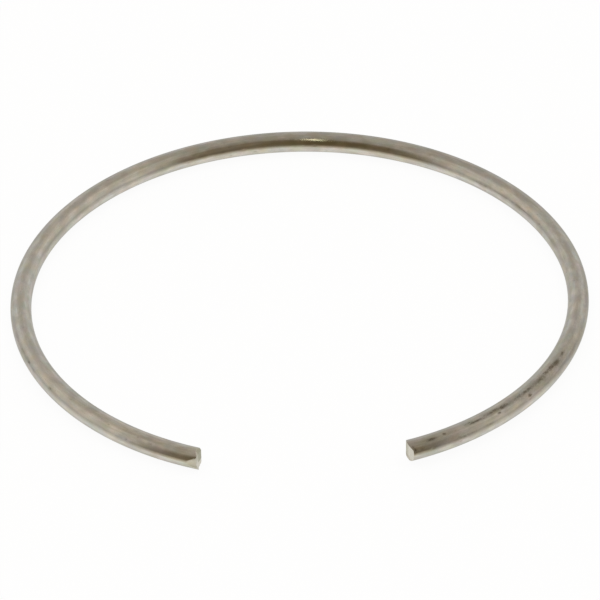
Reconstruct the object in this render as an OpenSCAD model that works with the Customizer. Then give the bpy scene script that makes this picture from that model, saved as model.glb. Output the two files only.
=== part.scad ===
// Round-wire retaining ring, lying flat.
// The ring is one length of spring wire, coiled to a circle with a wide gap at the front (-Y).
// The origin is the middle of the ring, at half the height of its wire, and +Z is the ring's axis.

/* [Wire] */
// Diameter of the round spring wire
wire_d = 3.2; // [2:0.1:4.5]

/* [Ring] */
// Outside diameter of the relaxed ring
outside_d = 88; // [60:1:125]
// Straight distance between the middles of the two cut faces
gap_w = 31; // [20:0.1:40]

/* [Set of the right-hand end] */
// Height of the right-hand end above the plane of the rest
end_lift = 0.6; // [0:0.1:1.5]
// Angle from the middle of the gap to where that end starts to lift
lift_start = 120; // [90:5:150]

/* [Left-hand cut] */
// Width of the edge that the blade rolled over, measured across the cut face
left_roll_w = 0.8; // [0.2:0.05:1.2]
// Length of that rolled edge, measured along the wire
left_roll_l = 0.4; // [0.1:0.05:1]
// Length of the wedge-shaped flat that the shear pressed on the outer side
flat_l = 1.4; // [0.5:0.1:4]
// Depth of this flat where it meets the cut face
flat_depth = 0.34; // [0.05:0.01:0.5]
// Angle by which the flat faces up from the plane of the ring
flat_rise = 0; // [-30:1:45]

/* [Right-hand cut] */
// Width of the edge that the blade rolled over, measured across the cut face
right_roll_w = 0.45; // [0.2:0.05:1.2]
// Length of that rolled edge, measured along the wire
right_roll_l = 0.25; // [0.1:0.05:1]

/* [Hidden] */

wire_r = wire_d / 2;
bend_r = outside_d / 2 - wire_r;
half_gap = asin(gap_w / 2 / bend_r);

// The right-hand stretch turns about the wire's own direction at the point where it starts to lift.
lift_reach = bend_r * (1 - cos(lift_start - half_gap));
lift_turn = asin(end_lift / lift_reach);

// The flat digs in along its length, so its plane slopes towards the cut face.
flat_slope = atan(flat_depth / flat_l);

// The lifted stretch is thinner by this hair, and its end runs this far into the flat one.
join_step = 0.03;
join_depth = 0.5;
join_angle = join_depth / bend_r * 180 / PI;

// A cutting block takes in the whole wire and more.
block = 3 * wire_d;

// Steps round the wire and round the whole ring
wire_steps = 36;
ring_steps = 180;

// A stretch of the bent wire between two angles, which grow from the front round by the right (+X)
module bent_wire(from, to, d) {
    rotate([0, 0, from - 90])
        rotate_extrude(angle = to - from, $fn = ring_steps)
            translate([bend_r, 0])
                circle(d = d, $fn = wire_steps);
}

// Children stand on the middle of the left-hand cut face: +X leaves the wire, and -Y leaves the ring.
module at_left_cut() {
    rotate([0, 0, -half_gap])
        translate([0, -bend_r, 0])
            children();
}

module at_right_cut() {
    mirror([1, 0, 0])
        at_left_cut()
            children();
}

// Block that takes off the edge next to the ring's middle, where the blade rolled it over
module rolled_edge(across, along) {
    translate([0, wire_r - across, 0])
        rotate([0, 0, atan2(across, -along)])
            translate([-block / 2, -block, -block / 2])
                cube(block);
}

// Block that presses the wedge-shaped flat on the outer side
module pressed_flat() {
    rotate([-flat_rise, 0, 0])
        translate([0, flat_depth - wire_r, 0])
            rotate([0, 0, flat_slope])
                translate([-block / 2, -block, -block / 2])
                    cube(block);
}

// Turns its children up about the point where the right-hand end starts to lift
module lifted() {
    joint = [bend_r * sin(lift_start), -bend_r * cos(lift_start), 0];
    along = [cos(lift_start), sin(lift_start), 0];
    translate(joint)
        rotate(a = lift_turn, v = along)
            translate(-joint)
                children();
}

module wire_ring() {
    color([0.59, 0.56, 0.5]) {
        difference() {
            bent_wire(lift_start, 360 - half_gap, wire_d);
            at_left_cut() {
                rolled_edge(left_roll_w, left_roll_l);
                pressed_flat();
            }
        }
        lifted()
            difference() {
                bent_wire(half_gap, lift_start + join_angle, wire_d - join_step);
                at_right_cut()
                    rolled_edge(right_roll_w, right_roll_l);
            }
    }
}

wire_ring();
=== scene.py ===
# %% [markdown]
# # A round-wire retaining ring
# The object is one piece of drawn spring wire, coiled to a circle with a wide opening at the front and cut
# to length by a shear. It lies flat. The imported model gives its place and size, so it is loaded first.

# %% Load the frame
import math
from functools import partial

import bpy
import numpy as np
from mathutils import Matrix, Vector


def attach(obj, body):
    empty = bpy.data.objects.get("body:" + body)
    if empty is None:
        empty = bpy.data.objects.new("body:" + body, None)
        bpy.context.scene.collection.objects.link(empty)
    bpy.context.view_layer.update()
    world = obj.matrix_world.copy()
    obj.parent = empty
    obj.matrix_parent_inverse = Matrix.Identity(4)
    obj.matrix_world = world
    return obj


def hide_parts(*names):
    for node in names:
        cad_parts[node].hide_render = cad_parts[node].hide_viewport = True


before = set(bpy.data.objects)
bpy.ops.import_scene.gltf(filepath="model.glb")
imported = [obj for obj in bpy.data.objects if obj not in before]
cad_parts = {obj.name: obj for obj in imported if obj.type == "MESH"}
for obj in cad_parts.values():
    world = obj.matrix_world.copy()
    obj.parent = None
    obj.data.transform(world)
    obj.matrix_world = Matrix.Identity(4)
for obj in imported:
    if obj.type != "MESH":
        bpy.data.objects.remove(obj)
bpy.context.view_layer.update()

# %% [markdown]
# ## Sizes
# Blender works in metres, and the wire is measured in millimetres, so each length is multiplied by MM. The
# ring angle is counted from the middle of the opening, which faces -Y, round by the right-hand side (+X).

# %% Sizes of the ring
MM = 0.001
wire_diameter = 3.2 * MM
outside_diameter = 88 * MM
gap_width = 31 * MM
end_lift = 0.6 * MM
lift_start = math.radians(120)

wire_radius = wire_diameter / 2
bend_radius = outside_diameter / 2 - wire_radius
half_gap = math.asin(gap_width / 2 / bend_radius)
wire_length = bend_radius * (2 * math.pi - 2 * half_gap)
print(f"wire length {wire_length / MM:.1f} mm, half of the gap {math.degrees(half_gap):.2f} degrees")

# %% [markdown]
# ## Sums on sockets
# Both Geometry Nodes and materials are nodes joined by links, and long sums are hard to read that way. This
# class holds one output socket and lets Python's own signs add the Math nodes, so a sum looks like a sum. It
# also has the one method that adds any other node, and two short ones for slopes and for blends of colour.

# %% A socket that Python can do sums with
class Socket:
    """One output of a node. Signs such as + and * on it add the nodes that work the sum out."""

    def __init__(self, tree, made, name=None):
        self.tree = tree
        self.made = made
        self.output = next((s for s in made.outputs if s.enabled and name in (None, s.name)), None)

    def __getitem__(self, name):
        return Socket(self.tree, self.made, name)

    @classmethod
    def node(cls, tree, kind, settings=None, sockets=None):
        """Adds a node. Its settings come first, then the values or links of its sockets."""
        made = tree.nodes.new(kind)
        for name, value in (settings or {}).items():
            setattr(made, name, value)
        for name, value in (sockets or {}).items():
            if isinstance(name, int):
                target = made.inputs[name]
            else:
                target = next(s for s in made.inputs if s.enabled and s.name == name)
            if isinstance(value, cls):
                tree.links.new(value.output, target)
            elif target.type == "VECTOR" and isinstance(value, (int, float)):
                target.default_value = (value, value, value)
            else:
                target.default_value = value
        return cls(tree, made)

    def maths(self, operation, *values):
        vectors = any(isinstance(v, Socket) and v.output.type == "VECTOR" for v in values)
        kind = "ShaderNodeVectorMath" if vectors else "ShaderNodeMath"
        return Socket.node(self.tree, kind, {"operation": operation}, dict(enumerate(values)))

    def __add__(self, other):
        return self.maths("ADD", self, other)

    def __radd__(self, other):
        return self.maths("ADD", other, self)

    def __sub__(self, other):
        return self.maths("SUBTRACT", self, other)

    def __rsub__(self, other):
        return self.maths("SUBTRACT", other, self)

    def __mul__(self, other):
        return self.maths("MULTIPLY", self, other)

    def __rmul__(self, other):
        return self.maths("MULTIPLY", other, self)

    def __truediv__(self, other):
        return self.maths("DIVIDE", self, other)

    def __pow__(self, other):
        return self.maths("POWER", self, other)

    def __neg__(self):
        return self.maths("MULTIPLY", self, -1)

    def __lt__(self, other):
        return self.maths("LESS_THAN", self, other)

    def __gt__(self, other):
        return self.maths("GREATER_THAN", self, other)

    def least(self, other):
        return self.maths("MINIMUM", self, other)

    def most(self, other):
        return self.maths("MAXIMUM", self, other)

    def size(self):
        return self.maths("ABSOLUTE", self)

    def sin(self):
        return self.maths("SINE", self)

    def cos(self):
        return self.maths("COSINE", self)

    def arcsin(self):
        return self.maths("ARCSINE", self)

    def rise(self, low, high, smooth=False):
        """0 up to low and 1 from high on, with a straight or a smooth slope between them."""
        settings = {"interpolation_type": "SMOOTHSTEP" if smooth else "LINEAR"}
        sockets = {"Value": self, "From Min": low, "From Max": high}
        return Socket.node(self.tree, "ShaderNodeMapRange", settings, sockets)

    def mix(self, first, second):
        """The first colour where this is 0, the second where it is 1, and a blend of both between."""
        sockets = {"Factor": self, "A": first, "B": second}
        return Socket.node(self.tree, "ShaderNodeMix", {"data_type": "RGBA"}, sockets)


def vector(tree, x, y, z):
    return Socket.node(tree, "ShaderNodeCombineXYZ", None, {"X": x, "Y": y, "Z": z})


def parts(value):
    made = Socket.node(value.tree, "ShaderNodeSeparateXYZ", None, {0: value})
    return made["X"], made["Y"], made["Z"]


# %% [markdown]
# ## The wire
# A curve with a round bevel would give the bend, but not the sheared ends, and marks along it would be hard
# to place. So Geometry Nodes start from a flat grid. Its rows become places along the wire and its columns
# turn round the wire, first as if the wire were straight, where cuts, rolls and pits are simple to write
# down. The last step bends that straight wire round the ring. Every size is a named input of the tree.

# %% Inputs of the tree
ring_sizes = {
    "Wire Diameter": wire_diameter,
    "Outside Diameter": outside_diameter,
    "Gap Width": gap_width,
    "End Lift": end_lift,
    "Lift Start": lift_start,
    "Rows On Wire": 1200,
    "Rings On Face": 22,
    "Steps Round": 76,
    "Fine End": 3 * MM,
    "Fine Share": 0.025,
    "Left Roll Width": 0.8 * MM,
    "Left Roll Length": 0.4 * MM,
    "Right Roll Width": 0.45 * MM,
    "Right Roll Length": 0.25 * MM,
    "Flat Length": 1.4 * MM,
    "Flat Depth": 0.34 * MM,
    "Flat Rise": math.radians(0),
    "Left Lean": 0.46 * MM,
    "Left Corner": 0.20 * MM,
    "Left Under": 0.16 * MM,
    "Left Burr": 0.16 * MM,
    "Left Stand": 0.09 * MM,
    "Right Slant": 0.15 * MM,
    "Right Lip": 0.50 * MM,
    "Right Burr": 0.17 * MM,
    "Wave Height": 0.006 * MM,
    "Wave Stretch": 9.0,
    "Wave Scale": 900.0,
    "Pit Count": 260,
    "Pit Width": 0.22 * MM,
    "Pit Depth": 0.018 * MM,
    "Pit Stretch": 2.6,
    "Smallest Pit": 0.02 * MM,
    "Patch Scale": 420.0,
    "Seed": 7,
}
whole_numbers = {"Rows On Wire", "Rings On Face", "Steps Round", "Seed"}


def tree_with_inputs(name, sizes, material):
    tree = bpy.data.node_groups.new(name, "GeometryNodeTree")
    for label, value in sizes.items():
        kind = "NodeSocketInt" if label in whole_numbers else "NodeSocketFloat"
        tree.interface.new_socket(label, in_out="INPUT", socket_type=kind).default_value = value
    finish = tree.interface.new_socket("Material", in_out="INPUT", socket_type="NodeSocketMaterial")
    finish.default_value = material
    tree.interface.new_socket("Geometry", in_out="OUTPUT", socket_type="NodeSocketGeometry")
    return tree


# %% [markdown]
# The rows are spread evenly, apart from the last few millimetres at each end. There they stand closer
# together, because the shear left small shapes that need them. Outside those rows come the rings of the two
# cut faces, which run from the rim to the middle.

# %% Places along and round the straight wire
def straight_places(tree, size, place):
    """The distance along the wire, the angle round it and the share of its radius, from the grid."""
    grid_x, grid_y, _ = parts(place)
    rows = size["Rows On Wire"] + 2 * size["Rings On Face"]
    row = (grid_x + 0.5) * rows
    to_right_middle = (row / size["Rings On Face"]).least(1)
    to_left_middle = ((rows - row) / size["Rings On Face"]).least(1)
    reach = to_right_middle.least(to_left_middle)

    share = (row - size["Rings On Face"]) / size["Rows On Wire"]
    share_of_end = size["Fine Share"]
    length = size["Wire Length"]
    near_right = share.rise(0, share_of_end) * size["Fine End"]
    between = share.rise(share_of_end, 1 - share_of_end) * (length - 2 * size["Fine End"])
    near_left = share.rise(1 - share_of_end, 1) * size["Fine End"]
    along = near_right + between + near_left

    turn = grid_y * (2 * math.pi) - math.pi / 2
    return along, turn, reach


# %% [markdown]
# ## The cut faces
# A shear first rolls the near edge of the wire over, then slides through it and leaves a smooth band, and at
# last tears the rest. Here each face is a small landscape: a sum that says how far a point of the face
# stands back into the wire. On both, the edge towards the middle of the ring is rolled over. The left-hand
# face leans back at its top, at its upper inner corner and a little below, and a burr stands out low on its
# outer side, where the shear pressed a flat. The right-hand face is a little slanted, with a lip along its
# top and a small burr below. Directions round the wire count from outward (0) over up (90).

# %% How far the faces stand back
def towards(out, up, radius, degrees):
    """1 at the rim in this direction round the wire, 0 in the middle, and negative on the other side."""
    angle = math.radians(degrees)
    return (out * math.cos(angle) + up * math.sin(angle)) / radius


def left_face(size, out, up, radius):
    rim = partial(towards, out, up, radius)
    inner = (-out).rise(radius - size["Left Roll Width"], radius) * size["Left Roll Length"]
    leaning = rim(90).rise(0.62, 1.0) ** 2 * size["Left Lean"]
    corner = rim(135).rise(0.8, 1.0) ** 2 * size["Left Corner"]
    under = rim(-105).rise(0.8, 1.0) * size["Left Under"]
    burr = rim(-45).rise(0.75, 1.0, smooth=True) * size["Left Burr"]
    return inner + leaning + corner + under - burr - size["Left Stand"]


def right_face(size, out, up, radius):
    rim = partial(towards, out, up, radius)
    inner = (-out).rise(radius - size["Right Roll Width"], radius) * size["Right Roll Length"]
    slant = (-out / radius).rise(0, 1) * size["Right Slant"]
    lip = rim(80).rise(0.66, 1.0) ** 1.2 * size["Right Lip"]
    burr = rim(-97).rise(0.72, 1.0, smooth=True) * size["Right Burr"]
    return inner - slant - lip - burr


# %% [markdown]
# ## Pits
# Drawn and tempered wire has small pits that follow the drawing direction. Points are scattered over a copy
# of the wire that is squeezed lengthwise, so that round pits on it come out long on the real one. Each point
# of the surface then asks how far the nearest pit is. Soft noise makes the pits come in patches.

# %% Scattered pits
def pits(tree, node, size, grid, along, out, up):
    """How deep a pit is at each place of the surface, from 0 to 1."""
    squeezed = vector(tree, along / size["Pit Stretch"], out, up)
    copy = node("GeometryNodeSetPosition", None, {"Geometry": grid, "Position": squeezed})
    area = size["Wire Length"] / size["Pit Stretch"] * size["Wire Diameter"] * math.pi
    scattered = node(
        "GeometryNodeDistributePointsOnFaces",
        None,
        {"Mesh": copy, "Density": size["Pit Count"] / area, "Seed": size["Seed"]},
    )
    nearest = node(
        "GeometryNodeProximity",
        {"target_element": "POINTS"},
        {"Geometry": scattered, "Sample Position": squeezed},
    )
    sockets = {"Vector": squeezed, "Scale": size["Patch Scale"], "Detail": 1.0}
    patches = node("ShaderNodeTexNoise", None, sockets)["Fac"]
    width = size["Pit Width"] * patches.rise(0.35, 0.65)
    return 1 - (nearest["Distance"] / (width + size["Smallest Pit"])).rise(0, 1, smooth=True)


# %% [markdown]
# ## Bending the wire
# A point of the straight wire lies some distance along it, some way out from its middle and some way up. The
# distance along divided by the radius of the bend is an angle, and sine and cosine put it on the ring. One
# side of the ring is sprung up a little, so the stretch before the start of the lift turns about the
# direction of the wire at that place.

# %% From straight wire to ring
def bent(tree, node, size, along, out, up):
    bend = size["Outside Diameter"] / 2 - size["Wire Diameter"] / 2
    angle = size["Half Gap"] + along / bend
    flat = vector(tree, (bend + out) * angle.sin(), -(bend + out) * angle.cos(), up)
    start = size["Lift Start"]
    joint = vector(tree, bend * start.sin(), -bend * start.cos(), 0)
    tangent = vector(tree, start.cos(), start.sin(), 0)
    lever = bend * (1 - (start - size["Half Gap"]).cos())
    lift = (size["End Lift"] / lever).arcsin() * (angle < start)
    sockets = {"Vector": flat, "Center": joint, "Axis": tangent, "Angle": lift}
    return node("ShaderNodeVectorRotate", None, sockets)


# %% [markdown]
# ## The whole tree
# Here the pieces come together. The flat that the shear pressed on the left-hand end is a limit on the
# radius: a plane that cuts in deeper towards the face. Low waves and the pits move the surface a little in
# and out. The named attributes keep the straight places, the cut faces and the pits for the material.
# Merging by distance closes the seam and the two middles, and edges that bend sharply stay sharp.

# %% Build the tree
merge_distance = 0.0008 * MM
sharp_angle = math.radians(24)
least_facing = 0.2


def wire_ring_tree(material):
    tree = tree_with_inputs("wire_ring", ring_sizes, material)
    node = partial(Socket.node, tree)
    inputs = node("NodeGroupInput")
    size = {label: inputs[label] for label in ring_sizes}
    bend = size["Outside Diameter"] / 2 - size["Wire Diameter"] / 2
    size["Half Gap"] = (size["Gap Width"] / 2 / bend).arcsin()
    size["Wire Length"] = bend * (2 * math.pi - 2 * size["Half Gap"])

    rows = size["Rows On Wire"] + 2 * size["Rings On Face"] + 1
    grid = node(
        "GeometryNodeMeshGrid",
        None,
        {"Size X": 1.0, "Size Y": 1.0, "Vertices X": rows, "Vertices Y": size["Steps Round"] + 1},
    )
    place = node("GeometryNodeInputPosition")
    along, turn, reach = straight_places(tree, size, place)

    radius = size["Wire Diameter"] / 2
    to_left_cut = size["Wire Length"] - along
    share_of_flat = to_left_cut / size["Flat Length"]
    pressed = radius - size["Flat Depth"] * (1 - share_of_flat)
    facing = (turn - size["Flat Rise"]).cos().most(least_facing)
    beyond_flat = radius * share_of_flat.rise(0.99, 1.01)
    limit = (pressed / facing).most(beyond_flat).least(radius)
    out = limit * reach * turn.cos()
    up = limit * reach * turn.sin()

    fade_right = 1 - along.rise(0, size["Fine End"])
    fade_left = 1 - to_left_cut.rise(0, size["Fine End"])
    cut_along = (
        along
        + right_face(size, out, up, radius) * fade_right
        - left_face(size, out, up, radius) * fade_left
    )

    wall = reach.rise(0.999, 1.0)
    straight = vector(tree, cut_along, out, up)
    drawn = vector(tree, cut_along / size["Wave Stretch"], out, up)
    sockets = {"Vector": drawn, "Scale": size["Wave Scale"], "Detail": 2.0}
    waves = node("ShaderNodeTexNoise", None, sockets)["Fac"]
    pit = pits(tree, node, size, grid, cut_along, out, up) * wall
    moved_out = ((waves - 0.5) * 2 * size["Wave Height"] - pit * size["Pit Depth"]) * wall
    out_shown = out + moved_out * turn.cos()
    up_shown = up + moved_out * turn.sin()

    shape = grid
    for name, kind, value in (
        ("straight_wire", "FLOAT_VECTOR", straight),
        ("cut_face", "FLOAT", 1 - wall),
        ("pit", "FLOAT", pit),
    ):
        shape = node(
            "GeometryNodeStoreNamedAttribute",
            {"data_type": kind, "domain": "POINT"},
            {"Geometry": shape, "Name": name, "Value": value},
        )
    ring_place = bent(tree, node, size, cut_along, out_shown, up_shown)
    shape = node("GeometryNodeSetPosition", None, {"Geometry": shape, "Position": ring_place})
    shape = node("GeometryNodeMergeByDistance", None, {"Geometry": shape, "Distance": merge_distance})
    shape = node("GeometryNodeSetShadeSmooth", {"domain": "FACE"}, {"Geometry": shape, "Shade Smooth": True})
    sharp = node("GeometryNodeInputMeshEdgeAngle")["Unsigned Angle"] > sharp_angle
    shape = node(
        "GeometryNodeSetShadeSmooth",
        {"domain": "EDGE"},
        {"Geometry": shape, "Selection": sharp, "Shade Smooth": False},
    )
    shape = node("GeometryNodeRealizeInstances", None, {"Geometry": shape})
    shape = node("GeometryNodeSetMaterial", None, {"Geometry": shape, "Material": inputs["Material"]})
    node("NodeGroupOutput", None, {"Geometry": shape})
    return tree


# %% [markdown]
# ## The steel
# The wire is bare spring steel with a dull satin skin and a warm cast. Drawing through a die left fine
# lengthwise lines, and handling left cloudy patches where the skin is a little rougher or paler. Its tint
# wanders a little too, in red and in blue. Dirt and old oil sit dark in the pits and marks. Some marks are
# painted shade and a painted reflection of the ring in itself. The pattern is read from the straight
# places, so that the lines follow the bend. All that varies goes to the colour, the roughness and the bump.

# %% Colour helper
def srgb(red, green, blue):
    """A colour from 0-255 values as they look on a screen, in the linear form that Blender takes."""
    linear = [((shown / 255 + 0.055) / 1.055) ** 2.4 for shown in (red, green, blue)]
    return (*linear, 1.0)


# %% Colours of the steel
dull_skin = srgb(189, 184, 173)
worn_skin = srgb(210, 206, 195)
lined_skin = srgb(184, 178, 166)
rubbed_skin = srgb(222, 219, 208)
# painted shade and a painted reflection of the ring, mixed in as grey haze
hazy_and_shaded_skin = srgb(127, 119, 107)
# dark of dirt and old oil, and of the painted reflection line on the inner side
dirt_and_reflection_skin = srgb(118, 110, 96)
bright_cut = srgb(234, 230, 218)
plain_cut = srgb(220, 216, 204)
# grey of the torn parts, partly painted shade
torn_and_shaded_cut = srgb(192, 191, 174)
edge_tint = (0.66, 0.655, 0.64, 1.0)
least_red = 0.845
red_spread = 0.30
least_blue = 0.83
blue_spread = 0.36
print("skin in linear colour", [round(c, 3) for c in dull_skin])

# %% Spring steel
smoothest = 0.10
cut_roughness = 0.34
torn_roughness = 0.50
dirt_roughness = 0.24
bump_height = 0.004 * MM


def spring_steel():
    material = bpy.data.materials.new("spring_steel")
    material.use_nodes = True
    tree = material.node_tree
    tree.nodes.clear()
    node = partial(Socket.node, tree)

    def attribute(name):
        return node("ShaderNodeAttribute", {"attribute_name": name})

    straight = attribute("straight_wire")["Vector"]
    cut_face = attribute("cut_face")["Fac"]
    pit = attribute("pit")["Fac"]
    # stain and haze also carry painted shade and a painted reflection of the ring in itself
    stain = attribute("stain")["Fac"]
    haze = attribute("haze")["Fac"]
    polish = attribute("polish")["Fac"]
    torn = attribute("torn")["Fac"]

    def noise(stretch, scale, detail, roughness, start=0.0):
        """Noise that is drawn out along the wire. The start picks the part of it that the wire shows."""
        place = straight * (1 / stretch, 1, 1) + (start, 0, 0)
        sockets = {"Vector": place, "Scale": scale, "Detail": detail, "Roughness": roughness}
        return node("ShaderNodeTexNoise", None, sockets)

    die_lines = noise(stretch=16, scale=5200, detail=3, roughness=0.6)["Fac"]
    fine_lines = noise(stretch=9, scale=14000, detail=2, roughness=0.6)["Fac"]
    clouds = noise(stretch=2.2, scale=900, detail=3, roughness=0.55)["Fac"]
    speckle = noise(stretch=1.6, scale=4200, detail=3, roughness=0.6)["Fac"]
    tints = noise(stretch=2, scale=1000, detail=2, roughness=0.5, start=0.02)["Color"]
    reddish, _, bluish = parts(tints)

    worn = clouds.rise(0.38, 0.66, smooth=True)
    dull = speckle.rise(0.45, 0.75, smooth=True)
    ragged = (stain * (speckle * 1.8 + 0.1)).rise(0.12, 0.9, smooth=True)
    # dirt in the pits and scuffs, and the painted reflection line
    dirt_and_reflection = (ragged + pit * 0.5 * speckle.rise(0.4, 0.6)).least(1)

    skin = worn.mix(dull_skin, worn_skin)
    skin = (die_lines.rise(0.35, 0.65) * 0.5).mix(skin, lined_skin)
    skin = polish.mix(skin, rubbed_skin)
    # grey clouds, partly painted shade and painted reflection
    skin = (haze * (0.4 + speckle * 1.2)).mix(skin, hazy_and_shaded_skin)
    skin = dirt_and_reflection.mix(skin, dirt_and_reflection_skin)
    skin = skin * vector(tree, least_red + reddish * red_spread, 1, least_blue + bluish * blue_spread)
    fresh = speckle.rise(0.35, 0.7).mix(bright_cut, plain_cut)
    # the torn grey on the cut faces is partly painted shade
    fresh = torn.mix(fresh, torn_and_shaded_cut)
    colour = cut_face.mix(skin, fresh)

    rough_lines = die_lines.rise(0.4, 0.7)
    rough_skin = smoothest + worn * 0.03 + dull * 0.05 + rough_lines * 0.03 + dirt_and_reflection * dirt_roughness
    rough_face = cut_roughness + torn * (torn_roughness - cut_roughness)
    rough = rough_skin * (1 - cut_face) + rough_face * cut_face

    height = die_lines * 0.7 + fine_lines * 0.3 + speckle * 0.4 - dirt_and_reflection * 0.6
    bump = node("ShaderNodeBump", None, {"Strength": 0.5, "Distance": bump_height, "Height": height})
    steel = node(
        "ShaderNodeBsdfPrincipled",
        None,
        {
            "Base Color": colour,
            "Metallic": 1.0,
            "Roughness": rough,
            "Normal": bump,
            "Specular Tint": edge_tint,
        },
    )
    node("ShaderNodeOutputMaterial", None, {"Surface": steel})
    return material


steel = spring_steel()

# %% [markdown]
# ## From the tree to a mesh
# A new object carries the tree as a modifier. Its inputs are set by the identifiers of their sockets before
# anything is worked out. The result is then copied as a plain mesh, and the modifier goes.

# %% Make the ring
def ring_from_tree(tree):
    holder = bpy.data.objects.new("holder", bpy.data.meshes.new("holder"))
    bpy.context.scene.collection.objects.link(holder)
    modifier = holder.modifiers.new("wire_ring", "NODES")
    modifier.node_group = tree
    for item in tree.interface.items_tree:
        if item.in_out == "INPUT" and item.name in ring_sizes:
            modifier[item.identifier] = ring_sizes[item.name]
        elif item.name == "Material":
            modifier[item.identifier] = steel
    evaluated = holder.evaluated_get(bpy.context.evaluated_depsgraph_get())
    mesh = bpy.data.meshes.new_from_object(evaluated)
    holder.modifiers.clear()
    bpy.data.objects.remove(holder)
    ring = bpy.data.objects.new("spring_wire_ring", mesh)
    bpy.context.scene.collection.objects.link(ring)
    return ring


ring = ring_from_tree(wire_ring_tree(steel))
corners = np.array([len(p.vertices) for p in ring.data.polygons])
print("points", len(ring.data.vertices), "triangles", int((corners - 2).sum()))

# %% [markdown]
# ## Marks of use
# Scattered pits are the same everywhere, but a real ring has marks of its own. The right-hand side has a row
# of dark scuffs along its top and grey clouds round them; the clouds are partly painted shade. A fine dark
# line and soft grey stripes on the inner side are a painted reflection of the ring in itself. There are also
# single pits, and spots that rubbed bright. Each mark is written down by its ring angle, its angle round
# the wire (0 outward, 90 up), its length and width in millimetres, and its strength.

# %% The marks
# Dark scuffs, pits and lines; the six at ring angles 106 to 143 on the inner side are a painted reflection
# of the ring in itself
scuffs_and_reflection_line = [
    (51.5, 70, 26.0, 0.80, 0.45),
    (21.85, 33, 0.45, 0.5, 1.0),
    (21.75, 14, 0.3, 0.5, 0.5),
    (21.55, 50, 0.3, 0.6, 0.6),
    (24.6, 69, 1.6, 0.32, 0.5),
    (25.7, 65, 2.1, 0.55, 0.8),
    (28.7, 72, 0.7, 0.50, 0.85),
    (33.0, 20, 6.0, 0.50, 0.45),
    (38.6, 23, 3.4, 0.45, 0.42),
    (34.7, 80, 2.0, 0.30, 0.5),
    (36.3, 71, 3.2, 0.46, 0.8),
    (38.2, 66, 2.2, 0.30, 0.5),
    (40.8, 77, 4.6, 0.66, 0.65),
    (43.4, 72, 2.6, 0.80, 0.8),
    (44.9, 63, 1.2, 0.40, 0.5),
    (41.9, 52, 0.7, 0.40, 0.85),
    (47.5, 72, 3.6, 0.70, 0.45),
    (50.8, 70, 4.8, 0.60, 0.7),
    (50.6, 40, 0.9, 0.55, 1.0),
    (55.2, 69, 3.8, 0.95, 0.65),
    (58.0, 74, 2.6, 0.70, 0.7),
    (60.2, 72, 3.0, 0.80, 0.85),
    (61.9, 66, 2.2, 0.85, 0.95),
    (65.2, 70, 2.0, 0.65, 0.65),
    (106.0, 141, 5.0, 0.14, 0.45),
    (113.5, 149, 6.0, 0.14, 0.55),
    (121.0, 156, 6.0, 0.14, 0.60),
    (128.5, 161, 6.0, 0.14, 0.60),
    (136.0, 165, 6.0, 0.14, 0.50),
    (143.0, 167, 5.0, 0.14, 0.40),
    (283.5, 32, 3.0, 0.50, 0.35),
    (287.2, 34, 2.2, 0.45, 0.35),
    (290.9, 30, 1.3, 0.60, 0.52),
    (293.5, 26, 1.8, 0.50, 0.40),
    (300.9, 30, 1.2, 0.55, 0.52),
]
# Broad clouds of grey, partly painted shade, and soft stripes on the inner side that are a painted
# reflection of the ring in itself
hazes_and_shade = [
    (51.0, 62, 30.0, 1.60, 0.30),
    (58.0, 52, 26.0, 1.50, 0.56),
    (66.0, 30, 22.0, 1.80, 0.40),
    (73.0, 50, 14.0, 1.30, 0.26),
    (88.0, 42, 12.0, 1.40, 0.34),
    (27.0, 34, 16.0, 1.90, 0.38),
    (25.0, 62, 7.0, 1.60, 0.26),
    (80.0, 75, 20.0, 1.20, 0.12),
    (155.0, 82, 66.0, 1.10, 0.24),
    (100.0, 133, 10.0, 0.70, 0.16),
    (111.0, 147, 10.0, 0.65, 0.26),
    (122.0, 157, 10.0, 0.60, 0.34),
    (134.0, 164, 11.0, 0.60, 0.28),
    (146.0, 168, 9.0, 0.60, 0.20),
    (214.0, 169, 9.0, 0.60, 0.20),
    (330.0, 22, 9.0, 1.30, 0.22),
    (286.0, 34, 12.0, 0.90, 0.16),
]
# Spots that rubbed bright
rubs = [
    (41.0, 56, 1.0, 0.35, 0.7),
    (42.6, 58, 1.2, 0.36, 0.9),
    (47.1, 40, 1.6, 0.40, 0.5),
    (250.0, 84, 2.6, 0.60, 0.6),
    (210.0, 133, 10.0, 1.00, 0.5),
    (268.0, 150, 9.0, 0.50, 0.6),
    (262.0, 100, 34.0, 1.80, 0.16),
    (292.0, 76, 16.0, 1.60, 0.20),
    (307.0, 4, 17.0, 1.30, 0.42),
    (54.0, -8, 12.0, 0.70, 0.40),
]
scuff_depth = 0.012 * MM

# %% [markdown]
# A mark fades out from its middle like a bell curve, along the wire and round it. The strongest mark at each
# point is kept in a named attribute for the material, one for each kind. The scuffs are sunk a little too.

# %% Strength of the marks at each point
def read_points(mesh, name, width):
    values = np.zeros(len(mesh.vertices) * width, np.float32)
    mesh.attributes[name].data.foreach_get("vector" if width == 3 else "value", values)
    return values.reshape(-1, width) if width > 1 else values


def keep_points(mesh, name, values):
    attribute = mesh.attributes.new(name, "FLOAT", "POINT")
    attribute.data.foreach_set("value", values.astype(np.float32))


straight = read_points(ring.data, "straight_wire", 3)
on_wall = 1 - read_points(ring.data, "cut_face", 1)
ring_angle = half_gap + straight[:, 0] / bend_radius
round_angle = np.arctan2(straight[:, 2], straight[:, 1])


def spots(marks):
    """The strongest of these marks at each point outside the cut faces, from 0 to 1."""
    strongest = np.zeros(len(straight), np.float32)
    for angle, turn, length, width, strength in marks:
        along = (ring_angle - math.radians(angle)) * bend_radius / (length * MM / 2)
        across = (round_angle - math.radians(turn)) * wire_radius / (width * MM / 2)
        strongest = np.maximum(strongest, np.exp(-(along**2) - across**2) * strength * on_wall)
    return strongest


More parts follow.
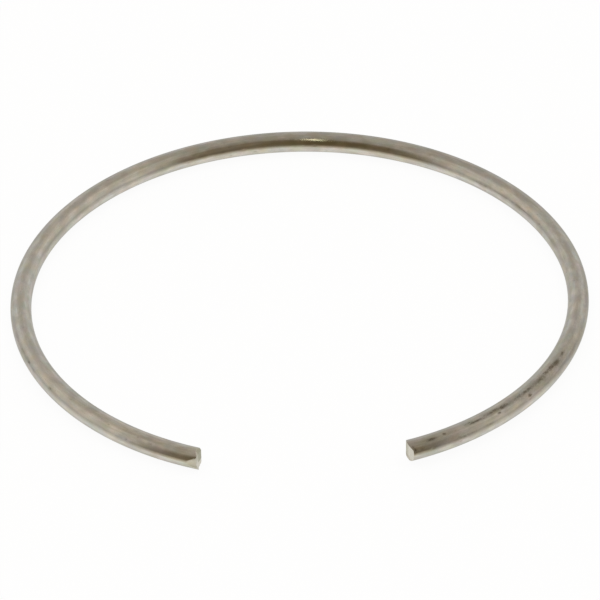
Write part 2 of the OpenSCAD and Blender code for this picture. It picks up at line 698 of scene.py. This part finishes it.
# the scuffs include a painted reflection of the ring, as a dark line on its inner side
stain = spots(scuffs_and_reflection_line)
keep_points(ring.data, "stain", stain)
# the hazes are partly painted shade, and their inner stripes a painted reflection
keep_points(ring.data, "haze", spots(hazes_and_shade))
keep_points(ring.data, "polish", spots(rubs))

place = np.zeros(len(straight) * 3, np.float32)
ring.data.vertices.foreach_get("co", place)
place = place.reshape(-1, 3)
outward = np.zeros(len(straight) * 3, np.float32)
ring.data.vertices.foreach_get("normal", outward)
place -= outward.reshape(-1, 3) * (stain * scuff_depth)[:, None]
ring.data.vertices.foreach_set("co", place.ravel())
ring.data.update()
print("points with a mark", int((stain > 0.3).sum()))

# %% [markdown]
# The cut faces are bright where the blade slid through, and greyer and rougher where the rest tore off, with
# the grey partly painted shade. On the left that is the upper inner part, and its top is partly greyed and
# roughened as painted shade. On the right the grey grows towards the inner side, as painted shade.

# %% Torn parts of the cut faces, partly painted shade
out = straight[:, 1] / wire_radius
up = straight[:, 2] / wire_radius
left_side = straight[:, 0] > wire_length / 2
torn_off = (out < 0.26) & (up > -0.25)
# The greyer top of the left face and the grey on the right face are painted shade, besides the torn part.
smear_and_shade = np.clip(up / 0.8 + 0.2, 0, 0.6)
torn_and_shaded_left = np.maximum(torn_off, smear_and_shade) * left_side
torn_and_shaded_right = np.clip((-out - 0.1) / 0.8, 0, 1) * ~left_side
torn = np.maximum(torn_and_shaded_left, torn_and_shaded_right)
keep_points(ring.data, "torn", torn)
print("torn points on the cut faces", int(((torn > 0.5) & (on_wall < 0.5)).sum()))

# %% [markdown]
# ## Riding on the frame
# The ring is one rigid body, so the new piece rides on the root body and takes the place of the plain solid.
# The ring isn't mirrored in itself; its own image, thin and blurred on real wire, is painted instead as the
# soft dark line and stripes among the marks on its inner side.

# %% Tie the piece to the frame
# The ring's own reflection is turned off, and painted into its colour as a dark line instead.
ring.visible_glossy = False
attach(ring, "root")
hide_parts("wire_ring")

# %% [markdown]
# ## The floor
# The ring lies on a plain white floor. Most of its white is the floor's own glow for the camera, where a
# strength of 1 is white. The rest is light that falls on it, so that the ring keeps a soft shadow. What the
# metal mirrors below is the paper that the room gives it, so the floor itself is hidden from it.

# %% White floor
floor_half_width = 6.0
floor_colour = (0.97, 0.97, 0.97, 1.0)
white = (1.0, 1.0, 1.0, 1.0)
glow_share = 0.935


def white_floor(height, half_width):
    corners = [(-1, -1), (1, -1), (1, 1), (-1, 1)]
    mesh = bpy.data.meshes.new("floor")
    mesh.from_pydata([(x * half_width, y * half_width, height) for x, y in corners], [], [(0, 1, 2, 3)])
    material = bpy.data.materials.new("white_floor")
    material.use_nodes = True
    tree = material.node_tree
    tree.nodes.clear()
    node = partial(Socket.node, tree)
    path = node("ShaderNodeLightPath")
    seen = (path["Is Camera Ray"] + path["Is Glossy Ray"] + path["Is Transmission Ray"]).least(1)
    matt = node("ShaderNodeBsdfDiffuse", None, {"Color": floor_colour})
    glow = node("ShaderNodeEmission", None, {"Color": white, "Strength": 1.0})
    both = node("ShaderNodeMixShader", None, {0: seen * glow_share, 1: matt, 2: glow})
    node("ShaderNodeOutputMaterial", None, {"Surface": both})
    mesh.materials.append(material)
    floor = bpy.data.objects.new("floor", mesh)
    bpy.context.scene.collection.objects.link(floor)
    return floor


floor = white_floor(-wire_radius, floor_half_width)
floor.visible_glossy = False
print("floor at", -wire_radius / MM, "mm")

# %% [markdown]
# ## The room
# A polished or satin metal shows the room more than its own colour. This room is a plain studio: pale warm
# walls, a darker ceiling, a dark warm area on the camera's side, and white paper below that is warmer where
# the dark area is near. The world gives it, as soft patches on the direction of view. Side, depth and
# height are the three parts of that direction, from -1 to 1. The camera itself sees plain white.

# %% World
def direction(azimuth, elevation):
    """Unit vector to a place in the room. Azimuth 0 is the camera's side (-Y), and 90 is +X."""
    turn = math.radians(azimuth)
    rise = math.radians(elevation)
    return Vector((math.sin(turn) * math.cos(rise), -math.cos(turn) * math.cos(rise), math.sin(rise)))


def studio_room():
    world = bpy.data.worlds.new("studio_room")
    bpy.context.scene.world = world
    world.use_nodes = True
    tree = world.node_tree
    tree.nodes.clear()
    node = partial(Socket.node, tree)
    view = node("ShaderNodeTexCoord")["Generated"]
    side, depth, height = parts(view)

    def patch(azimuth, elevation, inner, outer):
        """1 inside the inner angle round a direction, and 0 outside the outer angle."""
        sockets = {0: view, 1: direction(azimuth, elevation)}
        nearness = node("ShaderNodeVectorMath", {"operation": "DOT_PRODUCT"}, sockets)["Value"]
        return nearness.rise(math.cos(math.radians(outer)), math.cos(math.radians(inner)), smooth=True)

    low_wall = (0.63, 0.605, 0.575, 1.0)
    wall = (0.78, 0.735, 0.675, 1.0)
    ceiling = (0.495, 0.47, 0.41, 1.0)
    far_wall = (0.79, 0.79, 0.785, 1.0)
    far_ceiling = (0.485, 0.443, 0.392, 1.0)
    shade = (0.165, 0.13, 0.07, 1.0)
    half_shade = (0.23, 0.19, 0.135, 1.0)
    side_shade = (0.34, 0.29, 0.22, 1.0)
    sheet = (1.01, 1.01, 1.0, 1.0)
    near_sheet = (1.02, 1.01, 0.96, 1.0)
    warm_sheet = (0.88, 0.79, 0.58, 1.0)
    oval_middle_side = -0.03
    oval_middle_height = 0.05
    oval_lean = 0.06
    oval_half_width = 0.94
    oval_half_height = 1.025
    oval_power = 2.5

    room = height.rise(-0.05, 0.3, smooth=True).mix(low_wall, wall)
    room = height.rise(0.74, 0.99, smooth=True).mix(room, ceiling)
    room = patch(azimuth=180, elevation=5, inner=20, outer=70).mix(room, far_wall)
    room = (patch(azimuth=180, elevation=60, inner=10, outer=50) * 0.7).mix(room, far_ceiling)

    oval_side = ((side - oval_middle_side - height * oval_lean) / oval_half_width).size()
    oval_height = ((height - oval_middle_height) / oval_half_height).size()
    oval = (oval_side**oval_power + oval_height**oval_power) ** (1 / oval_power)
    dark = (1 - oval.rise(0.72, 1.0, smooth=True)) * (-depth).rise(0, 0.1)
    core = patch(azimuth=-8, elevation=24, inner=8, outer=36).mix(half_shade, shade)
    core = (patch(azimuth=42, elevation=34, inner=8, outer=32) * 0.5).mix(core, side_shade)
    room = dark.mix(room, core)

    share = 1 - height.rise(-0.64, -0.07)
    below = (-depth).rise(0.15, 0.55).mix(sheet, near_sheet)
    below = (dark * (1 - share)).mix(below, warm_sheet)
    room = share.mix(room, below)
    seen = node("ShaderNodeLightPath")["Is Camera Ray"].mix(room, white)
    background = node("ShaderNodeBackground", None, {"Color": seen, "Strength": 1.0})
    node("ShaderNodeOutputWorld", None, {"Surface": background})


studio_room()
print("nodes in the room", len(bpy.context.scene.world.node_tree.nodes))

# %% [markdown]
# ## Lamps
# A narrow warm lamp stands high on the camera's side and draws the bright streak at the back of the ring. A
# large panel overhead gives soft light to the floor. It isn't seen in the metal, which would otherwise go
# white all over.

# %% Lamps
def panel(name, azimuth, elevation, distance, width, height, radiance, colour):
    """An area lamp that faces the ring. Radiance is how bright its surface looks, where 1 is white."""
    data = bpy.data.lights.new(name, "AREA")
    data.shape = "RECTANGLE"
    data.size = width
    data.size_y = height
    data.energy = radiance * math.pi * width * height
    data.color = colour
    lamp = bpy.data.objects.new(name, data)
    towards_lamp = direction(azimuth, elevation)
    lamp.location = towards_lamp * distance
    lamp.rotation_euler = towards_lamp.to_track_quat("Z", "Y").to_euler()
    bpy.context.scene.collection.objects.link(lamp)
    return lamp


streak_lamp = panel(
    "streak_lamp",
    azimuth=-10,
    elevation=55.5,
    distance=1.5,
    width=0.07,
    height=0.60,
    radiance=1.75,
    colour=(1.0, 0.97, 0.68),
)
soft_panel = panel(
    "soft_panel",
    azimuth=0,
    elevation=88,
    distance=2.0,
    width=3.0,
    height=3.0,
    radiance=1.0,
    colour=(1.0, 1.0, 1.0),
)
soft_panel.visible_glossy = False
for lamp in (streak_lamp, soft_panel):
    print(lamp.name, f"{lamp.data.energy:.2f} W")

# %% [markdown]
# ## Camera
# The camera stands 0.91 m from the ring and about 36 degrees above it, with a long lens. It is turned by a
# degree about its own axis, as a hand-held one is, and it stands a third of a degree left of the middle of
# the opening. The lens is written down in pixels of the picture: its length, and how far the middle of the
# view lies from the middle of the picture.

# %% Camera
camera_distance = 0.9097
camera_height = math.radians(35.84)
camera_roll = math.radians(-1.17)
camera_side = math.radians(-0.33)
picture_width = 600
picture_lens = 5976.3
picture_shift = (0.50, -1.18)
sensor_width = 36.0

back = Vector((0, -math.cos(camera_height), math.sin(camera_height)))
right = Vector((1, 0, 0))
raised = back.cross(right)
right, raised = (
    right * math.cos(camera_roll) + raised * math.sin(camera_roll),
    raised * math.cos(camera_roll) - right * math.sin(camera_roll),
)
turned = Matrix.Rotation(camera_side, 4, "Z") @ Matrix((right, raised, back)).transposed().to_4x4()

camera_data = bpy.data.cameras.new("camera")
camera_data.sensor_width = sensor_width
camera_data.lens = picture_lens / picture_width * sensor_width
camera_data.shift_x = picture_shift[0] / picture_width
camera_data.shift_y = picture_shift[1] / picture_width
camera_data.clip_start = 0.01
camera = bpy.data.objects.new("camera", camera_data)
camera.matrix_world = Matrix.Translation(turned.to_3x3() @ Vector((0, 0, camera_distance))) @ turned
bpy.context.scene.collection.objects.link(camera)
bpy.context.scene.camera = camera
bpy.context.scene.view_settings.view_transform = "Standard"
print("camera at", [round(c, 3) for c in camera.matrix_world.translation])
